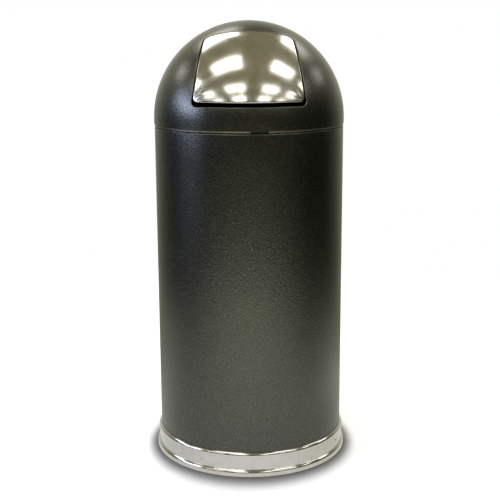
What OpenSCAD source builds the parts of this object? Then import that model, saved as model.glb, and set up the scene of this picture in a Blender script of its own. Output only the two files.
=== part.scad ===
// Dome top waste receptacle: a round steel body on a polished base ring, a lift-off
// dome with a self-closing push door, and a galvanised liner with a bail handle.
// Millimetres, +Z up, front towards -Y, origin on the floor at the middle of the base.

/* [Body] */
// Outside diameter of the body
body_d = 388.7; // [340:0.1:440]
// Height of the top of the body rim above the floor
rim_z = 689.3; // [600:0.1:800]
// Sheet of the body
body_t = 0.9; // [0.8:0.1:1.4]
// Outer radius of the folded rim
rim_r = 1; // [1:0.05:1.2]
// Depth of the rim's inner fold
hem_h = 12; // [6:1:20]
// Width of the lap seam down the back
lap_w = 14; // [8:1:24]

/* [Floor pan] */
// Sheet of the floor pan
pan_t = 1.2; // [0.8:0.1:2]
// Height of the pan's underside
pan_z = 18; // [14:1:30]
// Height of the pan's flange
pan_flange_h = 24; // [16:1:40]
// Outer radius of the pan's corner
pan_corner_r = 6; // [3:0.5:10]
// Width of the low margin round the pan's raised middle
pan_margin = 73.4; // [60:0.1:110]
// Rise of the middle of the pan
pan_boss_h = 4; // [2:0.5:6]

/* [Base ring] */
// Sheet of the base ring
ring_t = 0.8; // [0.6:0.1:1.2]
// Height of the base ring
ring_h = 49.8; // [42:0.1:60]
// How far the ring's flat band stands out from the body
band_out = 3.95; // [3.4:0.05:4.4]
// How far the ring's upper shoulder stands out from the body
shoulder_out = 5.45; // [5.3:0.05:5.8]
// Radius of the ring's upper shoulder and of its foot
shoulder_r = 7; // [6:0.1:7.5]
// How far the ring's foot stands out from the body
foot_out = 8.75; // [8:0.05:10]
// Outer radius of the foot's bottom corners
foot_corner_r = 1.4; // [1:0.1:2]
// Height of the ring's inner lip
lip_in_h = 9; // [6:0.5:12]
// Diameter of the ring's rivet shanks
ring_rivet_d = 3.2; // [2.4:0.1:4]
// Height of the ring's rivets
ring_rivet_z = 27; // [22:1:32]
// Direction of the first rivet, from the front towards the right
ring_rivet_az = -30.5; // [-40:0.5:-20]

/* [Dome] */
// How far the dome stands out beyond the body
dome_out = 0.9; // [0.5:0.1:2]
// Height of the dome's straight skirt
skirt_h = 11.35; // [8:0.05:30]
// Sheet of the dome
dome_t = 1; // [0.8:0.1:1.6]

/* [Locating ring] */
// Sheet of the ring that locates the dome in the body
loc_t = 0.8; // [0.6:0.1:1]
// Radius of the bead that rests on the body rim
loc_bead_r = 3; // [2:0.1:3]
// Distance from the middle of the bead out to the body's radius
loc_bead_in = 3; // [3:0.1:3.3]
// Height of the ring's band inside the dome
loc_band_h = 10; // [6:0.5:11]
// Gap between that band and the dome
loc_band_gap = 0.5; // [0.3:0.1:0.8]
// Depth of the ring's spigot inside the body
loc_spigot_h = 14; // [8:1:18]
// Gap between the spigot and the body's folded rim
loc_spigot_gap = 0.9; // [0.5:0.1:1.5]
// Middle of the gap between the ring's ends, from the front towards the right
loc_gap_az = 6; // [4:0.5:8]
// Angle left open between the ring's ends
loc_gap_deg = 10; // [6:0.5:14]
// Angle by which the strap behind the gap laps each end of the ring
loc_strap_lap = 3; // [2:0.5:5]

/* [Door opening] */
// Angle above level at which the opening faces
opening_tilt = 37.5; // [35:0.5:40]
// Top edge of the opening above the middle, square to that direction
opening_top = 85; // [80:0.5:88]
// Bottom edge of the opening below the middle, square to that direction
opening_bottom = 90.5; // [84:0.5:92]
// Width of the opening along its top edge
opening_top_w = 177.4; // [160:0.2:184]
// Width of the opening at the level of its bottom edge
opening_bottom_w = 228.8; // [214:0.2:236]
// Radius of the bowed bottom edge
opening_bow_r = 303; // [280:1:340]
// Radius of the upper corners
opening_top_r = 16; // [12:0.5:22]
// Radius of the lower corners
opening_bottom_r = 14; // [11:0.5:20]
// Depth of the lip turned in round the opening
opening_lip = 4.5; // [3:0.5:6]

/* [Door] */
// Sheet of the door
door_t = 0.8; // [0.6:0.1:1.2]
// How far the door's face lies under the dome's face
door_sunk = 0.3; // [0:0.1:1]
// Gap above the door
door_top_gap = 1.2; // [0.8:0.1:2]
// Gap at each side of the door
door_side_gap = 2.7; // [1.5:0.1:3]
// Gap below the door
door_bottom_gap = 8; // [4:0.5:9]
// Depth of the door's turned-in edge
door_flange = 5; // [4:0.5:6]

/* [Door hinge] */
// Distance along the dome from the top edge of the opening back to the hinge
hinge_back = 22.8; // [19.6:0.1:30]
// Depth of the hinge axis under the face of the dome
hinge_in = 15.25; // [14.5:0.05:17]
// Diameter of the hinge rod
rod_d = 5; // [4:0.5:5]
// Length of the hinge rod beyond each bracket
rod_end = 3.4; // [2.5:0.1:5]
// Distance of each bracket from the middle
bracket_x = 50; // [46:0.5:52]
// Sheet of the brackets and arms
bracket_t = 1.6; // [1.2:0.1:2]
// Width of a bracket along the dome
bracket_w = 24; // [18:1:30]
// Width of a bracket's welded foot
bracket_foot = 15; // [10:1:20]
// Distance from each bracket to the door arm inside it
arm_in = 10; // [6:0.5:12]
// Radius of the eyes of the arms and brackets
eye_r = 7; // [6.5:0.25:7]
// Outside diameter of the hinge bushes
bush_d = 8; // [7.5:0.25:8.5]
// Diameter of the flange of a bush
bush_flange_d = 12; // [10:0.5:12.5]
// Thickness of the flange of a bush
bush_flange_t = 1; // [0.8:0.1:1.5]
// Width of the welded foot of a door arm
arm_foot = 14; // [10:1:20]
// Outside diameter of the caps on the ends of the rod
rod_cap_d = 8; // [7.5:0.1:8.2]

/* [Closing springs] */
// Wire of the closing springs
spring_wire_d = 1.4; // [1:0.1:1.6]
// Number of turns in each spring
spring_turns = 6; // [4:1:6]
// Gap between neighbouring turns
spring_turn_gap = 0.5; // [0.45:0.05:0.8]
// Distance along the dome from the hinge to the end of the fixed leg
spring_back_leg = 26; // [20:1:32]
// Distance along the door from the hinge to the end of the moving leg
spring_door_leg = 46; // [40:1:52]

/* [Door stops] */
// Height of the stops below the middle of the opening
stop_down = 30; // [10:1:40]
// Width of a stop tab along the door's edge
stop_w = 16; // [12:1:24]
// Sheet of the stop tabs
stop_t = 1.2; // [1:0.1:1.6]
// Reach of a stop tab behind the dome, from the edge of the opening
stop_reach = 15; // [13:0.5:18]
// Diameter of the rubber bumpers
bumper_d = 10; // [8:0.5:11]

/* [Liner] */
// Room between the liner's wall at the top and the body's folded rim
liner_room = 18.35; // [17.5:0.05:40]
// How much smaller the radius of the liner's wall is at the bottom
liner_taper = 6; // [2:0.5:20]
// Depth of the liner's top below the body's rim
liner_down = 27.3; // [22:0.1:100]
// Sheet of the liner
liner_t = 0.7; // [0.6:0.1:1]
// Height of the liner's bottom above the end of its wall
liner_recess = 10; // [6:1:16]
// Radius of the rolled rim
curl_r = 3.5; // [3:0.1:4]
// Height of a stiffening bead in the liner wall
bead_h = 12; // [8:1:16]
// How far a stiffening bead stands out
bead_out = 2.5; // [1.5:0.5:3]

/* [Bail handle] */
// Wire of the bail handle
bail_wire_d = 6; // [5:0.5:7]
// Length of the bail's ends beyond the ears
bail_end = 3; // [2:0.5:3.5]
// Inner radius of the bends at the bail's ends
bail_bend_r = 5; // [4:0.5:6]
// Sheet of the ears
ear_t = 1.6; // [1.2:0.1:2]
// Width of the ears
ear_w = 26; // [22:1:32]
// Drop of an ear's foot below the rolled rim
ear_drop = 38; // [32:1:46]
// Diameter of the ear rivets
ear_rivet_d = 4; // [3:0.5:5]
// Distance between an ear's two rivets
ear_rivet_gap = 13; // [11:0.5:16]

/* [Clearances] */
// Gap between pieces that rest on each other and come apart
rest_gap = 0.3; // [0.3:0.05:0.5]
// Gap between pieces that are welded or pressed together
weld_gap = 0.05; // [0.02:0.01:0.1]
// Radial running gap of the rod in its bushes
run_gap = 0.05; // [0.02:0.01:0.1]
// Radial gap of the bail's ends in the ears
bail_gap = 0.3; // [0.1:0.1:0.5]
// Radial gap of a rivet shank in its holes
rivet_gap = 0.05; // [0.02:0.01:0.1]

/* [Hidden] */
$fn = 96;

// body and base
body_r = body_d / 2;
body_in_r = body_r - body_t;
hem_in_r = body_r - 2 * rim_r;
body_bottom_z = ring_t + weld_gap;
band_r = body_r + band_out;
foot_r = body_r + foot_out;
pan_out_r = body_in_r - weld_gap;
pan_top_z = pan_z + pan_t;
pan_boss_r = pan_out_r - pan_margin;

// dome and its locating ring: the bead rests on the round of the body's rim
dome_r = body_r + dome_out;
dome_in_r = dome_r - dome_t;
bead_c_r = body_r - loc_bead_in;
bead_c_z = rim_z - rim_r
         + sqrt(pow(loc_bead_r + rim_r + rest_gap, 2) - pow(body_r - rim_r - bead_c_r, 2));
dome_edge_z = bead_c_z + loc_bead_r;
dome_z = dome_edge_z + skirt_h;
loc_band_r = dome_in_r - loc_band_gap;
loc_spigot_r = hem_in_r - loc_spigot_gap;
spigot_end_z = rim_z - loc_spigot_h;
strap_out_r = loc_spigot_r - loc_t - weld_gap;

// opening outline: right-hand side line, its direction and outward normal, bow centre
side_top = [opening_top_w / 2, opening_top];
side_end = [opening_bottom_w / 2, -opening_bottom];
side_dir = (side_end - side_top) / norm(side_end - side_top);
side_out = [-side_dir.y, side_dir.x];
side_deg = atan2(side_out.y, side_out.x);
bow_c = [0, opening_bow_r - opening_bottom];

// door and hinge
door_r = dome_r - door_sunk;
door_in_r = door_r - door_t;
hinge_r = dome_r - hinge_in;
// angle above level of the hinge axis, seen from the dome's centre
hinge_angle = opening_tilt + asin(opening_top / dome_r) + hinge_back / dome_r * 180 / PI;
arm_x = bracket_x - arm_in;
rod_len = 2 * (bracket_x + bracket_t + rod_end);
rod_r = rod_d / 2;
bush_r = bush_d / 2;
// angles seen from the dome's centre: just over the opening's top edge at the arms, and the
// first and last of an arm's seat on the door
edge_deg = opening_tilt + asin(opening_top / sqrt(pow(dome_r, 2) - pow(arm_x, 2))) + 0.6;
arm_seat = [edge_deg - 13, edge_deg - 5.5];
arm_seat_r = sqrt(pow(door_in_r, 2) - pow(arm_x, 2));
lip_in_r = dome_r - opening_lip;
neck_r = sqrt(pow(lip_in_r, 2) - pow(arm_x, 2)) - 2.6;

// closing springs
spring_r = rod_r + 0.35 + spring_wire_d / 2;
spring_pitch = spring_wire_d + spring_turn_gap;
spring_end_x = arm_x - bush_flange_t - rest_gap - spring_wire_d / 2;
spring_wire_r = spring_wire_d / 2;

// stops
stop_edge_x = opening_top_w / 2 + (opening_top + stop_down) * (side_end.x - side_top.x)
            / (opening_top + opening_bottom);
stop_face_r = lip_in_r - 1.5;
stop_root_x = stop_edge_x - 14;
bumper_x = stop_edge_x + stop_reach - bumper_d / 2 - 1;

// liner and bail
liner_top_r = hem_in_r - liner_room;
liner_bottom_r = liner_top_r - liner_taper;
liner_top_z = rim_z - liner_down;
liner_z = pan_top_z + rest_gap;
curl_c = [liner_top_r - liner_t + curl_r, liner_top_z - curl_r];
bail_wire_r = bail_wire_d / 2;
bail_z = liner_top_z + rest_gap + bail_wire_r;
ear_x = curl_c.x + curl_r + 1.4;
ear_foot_top_z = liner_top_z - 2 * curl_r - 12;
ear_foot_z = liner_top_z - ear_drop;
ear_rivet_z = (ear_foot_top_z + ear_foot_z) / 2 - 1;

// ---------- curves and sheet metal ----------

// points along an arc from angle a to angle b, in n steps
function arc(c, r, a, b, n = 6) = [for (i = [0:n]) c + r * [cos(a + (b - a) * i / n),
                                                            sin(a + (b - a) * i / n)]];
function unit(v) = v / norm(v);
function right_of(v) = [v.y, -v.x];

// point i of a path, moved to the right of the way it runs by t
function offset_point(p, i, t) =
    let (n = len(p) - 1,
         a = unit(p[max(i, 1)] - p[max(i, 1) - 1]),
         b = unit(p[min(i, n - 1) + 1] - p[min(i, n - 1)]),
         m = unit(a + b))
    p[i] + right_of(m) * t / (m * a);

// section of a sheet of thickness t to the right of the path
module sheet(path, t) {
    polygon(concat(path, [for (i = [len(path) - 1:-1:0]) offset_point(path, i, t)]));
}

module shell(r, t) {
    difference() {
        sphere(r);
        sphere(r - t);
    }
}

module left_side() {
    mirror([1, 0, 0]) children();
}

// direction az is counted from the front towards the right
module at_azimuth(az) {
    rotate([0, 0, az - 90]) children();
}

// ---------- door opening ----------

// frame of the opening: Z the way it faces, Y up along the dome, origin at the dome's centre
module opening_frame() {
    translate([0, 0, dome_z]) rotate([90 - opening_tilt, 0, 0]) children();
}

// frame of the hinge: the same, facing the hinge axis at [0, 0, hinge_r]
module hinge_frame() {
    translate([0, 0, dome_z]) rotate([90 - hinge_angle, 0, 0]) children();
}

function top_corner(top_in, side_in, r) =
    let (p = side_top - side_out * (side_in + r))
    p + side_dir * (opening_top - top_in - r - p.y) / side_dir.y;

function bottom_corner(bottom_in, side_in, r) =
    let (w = side_top - side_out * (side_in + r) - bow_c,
         h = w * side_dir,
         k = opening_bow_r - bottom_in - r)
    bow_c + w + side_dir * (sqrt(h * h - w * w + k * k) - h);

// the opening's outline, drawn in by the given amounts at its top, sides and bottom
function opening_outline(top_in, side_in, bottom_in) =
    let (r1 = opening_top_r - side_in,
         r2 = opening_bottom_r - side_in,
         c1 = top_corner(top_in, side_in, r1),
         c2 = bottom_corner(bottom_in, side_in, r2),
         bow_deg = atan2(c2.y - bow_c.y, c2.x - bow_c.x),
         half = concat(arc(bow_c, opening_bow_r - bottom_in, -90, bow_deg, 7),
                       arc(c2, r2, bow_deg + 8, side_deg, 5),
                       arc(c1, r1, side_deg, 90, 6)))
    concat(half, [for (i = [len(half) - 1:-1:1]) [-half[i].x, half[i].y]]);

module opening_prism(top_in, side_in, bottom_in) {
    linear_extrude(dome_r + 10) polygon(opening_outline(top_in, side_in, bottom_in));
}

// ---------- body ----------

module body_shell() {
    wall = concat([[body_r, body_bottom_z]],
                  arc([body_r - rim_r, rim_z - rim_r], rim_r, 0, 180, 8),
                  [[hem_in_r, rim_z - rim_r - hem_h]]);
    lap_deg = lap_w / body_in_r * 180 / PI;
    color("#33342f") difference() {
        union() {
            rotate_extrude() mirror([1, 0]) sheet([for (p = wall) [-p.x, p.y]], body_t);
            rotate([0, 0, 90 - lap_deg / 2]) rotate_extrude(angle = lap_deg)
                translate([body_in_r - body_t, pan_z + pan_flange_h + 2])
                    square([body_t * 1.4, rim_z - hem_h - pan_z - pan_flange_h - 8]);
        }
        ring_rivet_holes();
    }
}

module floor_pan() {
    boss_slope = pan_boss_r + pan_boss_h;
    path = concat([[pan_out_r, pan_z + pan_flange_h]],
                  arc([pan_out_r - pan_corner_r, pan_z + pan_corner_r], pan_corner_r, 0, -90, 6),
                  [[boss_slope, pan_z], [pan_boss_r, pan_z + pan_boss_h], [0, pan_z + pan_boss_h]]);
    color("#4a4b48") difference() {
        rotate_extrude() sheet(path, pan_t);
        ring_rivet_holes();
    }
}

// ---------- base ring ----------

module base_ring() {
    // the upper shoulder starts where its inner side meets the body, and both end at the band
    top_x = body_r + shoulder_out - shoulder_r;
    top_deg = acos((body_r + 3 * weld_gap - top_x) / (shoulder_r - ring_t));
    top_c = [top_x, ring_h - shoulder_r * sin(top_deg)];
    foot_c = [foot_r - shoulder_r, shoulder_r - 0.2];
    lip_r = body_in_r - 0.6 - ring_t;
    path = concat(arc(top_c, shoulder_r, top_deg, -acos((band_r - top_x) / shoulder_r), 10),
                  arc(foot_c, shoulder_r, acos((band_r - foot_c.x) / shoulder_r), 0, 7),
                  arc([foot_r - foot_corner_r, foot_corner_r], foot_corner_r, 0, -90, 4),
                  arc([lip_r + foot_corner_r, foot_corner_r], foot_corner_r, -90, -180, 4),
                  [[lip_r, lip_in_h]]);
    color("#d5d5d2") difference() {
        rotate_extrude() sheet(path, ring_t);
        ring_rivet_holes();
    }
}

module at_ring_rivets() {
    for (az = [0:3]) at_azimuth(ring_rivet_az + 96.5 * az)
        translate([0, 0, ring_rivet_z]) rotate([0, 90, 0]) children();
}

module ring_rivet_holes() {
    at_ring_rivets() translate([0, 0, pan_out_r - pan_t - 5])
        cylinder(d = ring_rivet_d + 2 * rivet_gap, h = foot_out + 10);
}

module rivet(d, from, to, head_h) {
    head_d = d * 1.9;
    translate([0, 0, from - head_h * 0.7]) cylinder(d = head_d, h = head_h * 0.7);
    translate([0, 0, from - 0.01]) cylinder(d = d, h = to - from + 0.02);
    // round head: a slice of a sphere that stands head_h above the sheet
    ball_r = (head_h * head_h + head_d * head_d / 4) / (2 * head_h);
    translate([0, 0, to]) intersection() {
        translate([0, 0, head_h - ball_r]) sphere(ball_r);
        cylinder(d = head_d + 2, h = head_h + 1);
    }
}

module base_ring_rivets() {
    color("#c9c9c6") at_ring_rivets()
        rivet(ring_rivet_d, pan_out_r - pan_t - weld_gap - 0.1, band_r + weld_gap, 1.3);
}

// ---------- liner ----------

function liner_wall_r(z) = liner_bottom_r + (liner_top_r - liner_bottom_r)
                           * (z - liner_z) / (curl_c.y - liner_z);
function wall_bead(z) = [for (i = [-6:6]) let (h = z + bead_h / 2 * i / 6)
    [liner_wall_r(h) - liner_t + bead_out * (1 + cos(30 * i)) / 2, h]];

module liner_shell() {
    path = concat([[liner_bottom_r - liner_t, liner_z]],
                  wall_bead(liner_z + 0.3 * (liner_top_z - liner_z)),
                  wall_bead(liner_z + 0.66 * (liner_top_z - liner_z)),
                  arc(curl_c, curl_r, 180, -95, 14));
    color("#b4b8b8") difference() {
        rotate_extrude() sheet(path, liner_t);
        ear_rivet_holes();
    }
}

module liner_bottom() {
    out_r = liner_bottom_r - liner_t - weld_gap - 0.05;
    top = liner_z + liner_recess;
    path = [[0, top], [out_r - 3, top], [out_r - 0.6, top - 1.2], [out_r, top - 4],
            [out_r, liner_z + 0.4]];
    color("#abafaf") rotate_extrude() sheet(path, liner_t);
}

module liner_rim_wire() {
    color("#8e9292") rotate_extrude() translate(curl_c) circle(curl_r - liner_t - 0.2);
}

module ear_profile() {
    wall_x = liner_wall_r(ear_rivet_z) + 0.25;
    path = [[wall_x, ear_foot_z], [wall_x, ear_foot_top_z],
            [ear_x, ear_foot_top_z + (ear_x - wall_x)], [ear_x, bail_z + eye_r + 1]];
    sheet(path, ear_t);
}

module bail_ear_right() {
    eye = eye_r + 1;
    color("#a5a9a9") difference() {
        intersection() {
            rotate([90, 0, 0]) linear_extrude(ear_w, center = true) ear_profile();
            // seen from the side: a round eye on a wide foot
            rotate([90, 0, 90]) linear_extrude(body_r) union() {
                translate([0, bail_z]) circle(eye);
                polygon([[-ear_w / 2, ear_foot_z], [ear_w / 2, ear_foot_z],
                         [ear_w / 2, ear_foot_top_z], [eye, bail_z], [-eye, bail_z],
                         [-ear_w / 2, ear_foot_top_z]]);
            }
        }
        translate([0, 0, bail_z]) rotate([0, 90, 0])
            cylinder(r = bail_wire_r + bail_gap, h = body_r);
        ear_rivet_holes();
    }
}

module bail_ear_left() {
    left_side() bail_ear_right();
}

module at_ear_rivets() {
    for (side = [0, 1], y = [-1, 1]) mirror([side, 0, 0])
        translate([0, y * ear_rivet_gap / 2, ear_rivet_z]) rotate([0, 90, 0]) children();
}

module ear_rivet_holes() {
    at_ear_rivets() translate([0, 0, liner_bottom_r - 20])
        cylinder(d = ear_rivet_d + 2 * rivet_gap, h = 60);
}

module ear_rivets() {
    wall_x = liner_wall_r(ear_rivet_z);
    // the heads clear the wall's curve, which falls away beside the middle
    bow = wall_x - sqrt(pow(wall_x, 2) - pow(ear_rivet_gap / 2 + ear_rivet_d, 2));
    color("#9a9e9e") at_ear_rivets()
        rivet(ear_rivet_d, wall_x - liner_t - bow - 0.1, wall_x + 0.25 + ear_t + weld_gap, 1.6);
}

// bail: half a ring that lies back on the rolled rim, its ends bent out through the ears
module bail_handle() {
    bend = bail_bend_r + bail_wire_r;
    bow = curl_c.x - bend;
    end_x = ear_x + ear_t + bail_end;
    color("#c3c7c7") translate([0, 0, bail_z]) {
        translate([0, bend, 0]) rotate_extrude(angle = 180)
            translate([bow, 0]) circle(bail_wire_r);
        for (side = [0, 1]) mirror([side, 0, 0]) translate([bow + bend, 0, 0]) {
            translate([0, bend, 0]) rotate([0, 0, 180]) rotate_extrude(angle = 90)
                translate([bend, 0]) circle(bail_wire_r);
            rotate([0, 90, 0]) cylinder(r = bail_wire_r, h = end_x - bow - bend);
            translate([end_x - bow - bend, 0, 0]) rotate([0, 90, 0])
                cylinder(r = bail_wire_r + 1, h = 1.2);
        }
    }
}

// ---------- dome ----------

module dome_shell() {
    lip_step = dome_t * 0.5;
    color("#383934") difference() {
        union() {
            translate([0, 0, dome_z]) rotate_extrude() {
                intersection() {
                    difference() {
                        circle(dome_r);
                        circle(dome_in_r);
                    }
                    square(dome_r + 1);
                }
                translate([dome_in_r, -skirt_h]) square([dome_t, skirt_h]);
            }
            opening_frame() intersection() {
                shell(dome_r - lip_step, opening_lip - lip_step);
                opening_prism(-dome_t, -dome_t, -dome_t);
            }
        }
        opening_frame() opening_prism(0, 0, 0);
    }
}

module locating_ring() {
    top = dome_edge_z + loc_band_h;
    c = [bead_c_r, bead_c_z];
    path = concat([[loc_band_r, top], [loc_band_r, dome_edge_z + 1.6]],
                  arc(c, loc_bead_r, 60, -84, 10),
                  [[loc_spigot_r, rim_z - 0.8], [loc_spigot_r, spigot_end_z + 3],
                   [loc_spigot_r - 1.2, spigot_end_z]]);
    open_deg = loc_gap_deg;
    color("#4c4d48") {
        at_azimuth(loc_gap_az + open_deg / 2)
            rotate_extrude(angle = 360 - open_deg) sheet(path, loc_t);
        // the strap welded behind the ring's two ends
        at_azimuth(loc_gap_az - open_deg / 2 - loc_strap_lap)
            rotate_extrude(angle = open_deg + 2 * loc_strap_lap)
                translate([strap_out_r - loc_t, spigot_end_z + 4])
                    square([loc_t, dome_edge_z - spigot_end_z]);
    }
}

module hinge_bracket_right() {
    color("#8d8f8d") hinge_frame() difference() {
        union() {
            intersection() {
                translate([bracket_x, 0, hinge_r]) rotate([90, 0, 90]) linear_extrude(bracket_t) union() {
                    circle(eye_r);
                    polygon([[-eye_r, 0], [eye_r, 0], [bracket_w / 2, 5], [bracket_w / 2, 30],
                             [-bracket_w / 2, 30], [-bracket_w / 2, 5]]);
                }
                sphere(dome_in_r - weld_gap);
            }
            intersection() {
                shell(dome_in_r - weld_gap, bracket_t);
                translate([bracket_x + bracket_t / 2, -bracket_w / 2, 0])
                    cube([bracket_foot, bracket_w, dome_r]);
            }
        }
        translate([bracket_x - 1, 0, hinge_r]) rotate([0, 90, 0])
            cylinder(r = rod_r + run_gap, h = bracket_t + 2);
    }
}

module hinge_bracket_left() {
    left_side() hinge_bracket_right();
}

module hinge_rod() {
    color("#c6c8c8") hinge_frame() translate([-rod_len / 2, 0, hinge_r]) rotate([0, 90, 0])
        cylinder(r = rod_r, h = rod_len);
}

// a sprung cap is pushed over each end of the rod, up against its bracket
module rod_caps() {
    x = bracket_x + bracket_t + weld_gap;
    color("#a9acac") hinge_frame() for (side = [0, 1]) mirror([side, 0, 0])
        translate([x, 0, hinge_r]) rotate([0, 90, 0]) difference() {
            union() {
                cylinder(d = rod_cap_d, h = 0.8);
                cylinder(d = rod_d + 2, h = rod_len / 2 - x + 1);
            }
            translate([0, 0, -1]) cylinder(r = rod_r + 0.02, h = rod_len / 2 - x + 1.1);
        }
}

// ---------- closing springs ----------

// the wire's middle line: the leg on the door, the turns from the arm inwards, the leg on the dome
spring_steps = 8;
door_leg_r = sqrt(pow(door_in_r - rest_gap - spring_wire_r, 2) - pow(spring_end_x, 2)
                  - pow(spring_door_leg, 2));
dome_leg_r = sqrt(pow(dome_in_r - rest_gap - spring_wire_r, 2) - pow(spring_end_x, 2)
                  - pow(spring_back_leg, 2));
// angle at which a leg that ends at [y, z] touches the coil
function leg_touch(y, z) = acos(spring_r / norm([y, z]));
door_leg_end = [-spring_door_leg, door_leg_r - hinge_r];
dome_leg_end = [spring_back_leg, dome_leg_r - hinge_r];
spring_a0 = atan2(door_leg_end.y, door_leg_end.x) + leg_touch(door_leg_end.x, door_leg_end.y);
spring_a1 = atan2(dome_leg_end.y, dome_leg_end.x) + 360
          - leg_touch(dome_leg_end.x, dome_leg_end.y);
spring_sweep = spring_a1 - spring_a0 + 360 * (spring_turns - 1);
spring_n = ceil(spring_sweep / 360 * spring_steps);

function coil_point(i) =
    let (a = spring_a0 + spring_sweep * i / spring_n)
    [spring_end_x - spring_pitch * spring_sweep / 360 * i / spring_n,
     spring_r * cos(a), hinge_r + spring_r * sin(a)];

function spring_path() = concat(
    [[spring_end_x, door_leg_end.x, hinge_r + door_leg_end.y]],
    [for (i = [0:spring_n]) coil_point(i)],
    [[coil_point(spring_n).x, dome_leg_end.x, hinge_r + dome_leg_end.y]]);

// a six-sided tube along a path that never runs along X
module wire(path, r) {
    n = len(path);
    way = [for (i = [0:n - 1]) unit(path[min(i + 1, n - 1)] - path[max(i - 1, 0)])];
    ring = [for (i = [0:n - 1]) let (b = unit(cross([1, 0, 0], way[i])), c = cross(way[i], b))
        for (k = [0:5]) path[i] + r * (cos(60 * k) * b + sin(60 * k) * c)];
    faces = concat(
        [[for (k = [0:5]) k]], [[for (k = [5:-1:0]) 6 * (n - 1) + k]],
        [for (i = [0:n - 2], k = [0:5]) let (a = 6 * i + k, b = 6 * i + (k + 1) % 6)
            each [[a, a + 6, b + 6], [a, b + 6, b]]]);
    polyhedron(ring, faces);
}

module closing_spring_right() {
    color("#b9bcbc") hinge_frame() wire(spring_path(), spring_wire_r);
}

module closing_spring_left() {
    left_side() closing_spring_right();
}

// ---------- door ----------

module door_panel() {
    color("#b7b6b0") opening_frame() difference() {
        intersection() {
            sphere(door_r);
            opening_prism(door_top_gap, door_side_gap, door_bottom_gap);
        }
        intersection() {
            sphere(door_in_r);
            opening_prism(door_top_gap + door_t, door_side_gap + door_t, door_bottom_gap + door_t);
        }
        sphere(door_r - door_flange);
    }
}

// a point in the hinge frame's middle plane, at radius r and angle a from the dome's centre
function at_angle(r, a) = [-r * sin(hinge_angle - a), r * cos(hinge_angle - a)];

module door_arm_right() {
    reach = arm_seat_r + 8;
    color("#8d8f8d") hinge_frame() difference() {
        union() {
            intersection() {
                translate([arm_x, 0, 0]) rotate([90, 0, 90]) linear_extrude(bracket_t) union() {
                    translate([0, hinge_r]) circle(eye_r);
                    polygon([[0, hinge_r], at_angle(neck_r, edge_deg),
                             at_angle(neck_r, arm_seat[1] + 1.2), at_angle(reach, arm_seat[1] + 0.4),
                             at_angle(reach, arm_seat[0]), at_angle(arm_seat_r - 8, arm_seat[0] + 0.5),
                             [2, hinge_r - eye_r + 0.5]]);
                }
                sphere(door_in_r - weld_gap);
            }
            // welded foot along the inside of the door
            intersection() {
                shell(door_in_r - weld_gap, bracket_t);
                translate([arm_x + bracket_t / 2, 0, 0]) rotate([90, 0, 90])
                    linear_extrude(arm_foot) polygon([[0, 0], at_angle(dome_r + 5, arm_seat[1] - 0.5),
                                                      at_angle(dome_r + 5, arm_seat[0])]);
            }
        }
        translate([arm_x - 1, 0, hinge_r]) rotate([0, 90, 0])
            cylinder(r = bush_r + weld_gap, h = bracket_t + 2);
    }
}

module door_arm_left() {
    left_side() door_arm_right();
}

module hinge_bush_right() {
    color("#e6e4da") hinge_frame() translate([arm_x - bush_flange_t - weld_gap, 0, hinge_r])
        rotate([0, 90, 0]) difference() {
            union() {
                cylinder(d = bush_flange_d, h = bush_flange_t);
                cylinder(r = bush_r, h = bush_flange_t + weld_gap + bracket_t + 1);
            }
            translate([0, 0, -1]) cylinder(r = rod_r + run_gap, h = bracket_t + bush_flange_t + 4);
        }
}

module hinge_bush_left() {
    left_side() hinge_bush_right();
}

// ---------- door stops ----------

// block from x0 to x1 across the opening frame, as wide as a stop tab
module stop_block(x0, x1) {
    translate([x0, -stop_down - stop_w / 2, 0]) cube([x1 - x0, stop_w, dome_r]);
}

module stop_tab_right() {
    color("#8d8f8d") opening_frame() {
        intersection() {
            shell(door_in_r - weld_gap, stop_t);
            stop_block(stop_root_x - 14, stop_root_x + stop_t);
        }
        intersection() {
            shell(door_in_r - weld_gap - stop_t / 2, door_in_r - stop_face_r + stop_t / 2);
            stop_block(stop_root_x, stop_root_x + stop_t);
        }
        intersection() {
            shell(stop_face_r, stop_t);
            stop_block(stop_root_x + stop_t / 2, stop_edge_x + stop_reach);
        }
    }
}

module stop_tab_left() {
    left_side() stop_tab_right();
}

// rubber bumper on the tab, pressed against the inside of the dome when the door is shut
module stop_bumper_right() {
    lean = asin(bumper_x / stop_face_r);
    down = asin(stop_down / stop_face_r);
    tall = dome_in_r - rest_gap - stop_face_r - weld_gap;
    color("#1d1d1d") opening_frame() intersection() {
        rotate([down, 0, 0]) rotate([0, lean, 0]) translate([0, 0, stop_face_r - 5])
            cylinder(d = bumper_d, h = tall + 10);
        shell(dome_in_r - rest_gap, tall);
    }
}

module stop_bumper_left() {
    left_side() stop_bumper_right();
}

body_shell();
floor_pan();
base_ring();
base_ring_rivets();
liner_shell();
liner_bottom();
liner_rim_wire();
bail_ear_left();
bail_ear_right();
ear_rivets();
bail_handle();
dome_shell();
locating_ring();
hinge_bracket_left();
hinge_bracket_right();
hinge_rod();
rod_caps();
closing_spring_left();
closing_spring_right();
door_panel();
door_arm_left();
door_arm_right();
hinge_bush_left();
hinge_bush_right();
stop_tab_left();
stop_tab_right();
stop_bumper_left();
stop_bumper_right();
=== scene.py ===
# Looks of a dome top waste receptacle, built round its CAD frame.
# The pieces' dictionaries are in millimetres, and their meshes are scaled to metres when they are
# finished. The dictionaries of the floor, the lights and the camera are in metres and degrees.
from math import acos, asin, atan, atan2, cos, exp, hypot, pi, radians, sin, sqrt, tan

import bmesh
import bpy
from mathutils import Matrix, Vector


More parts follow.
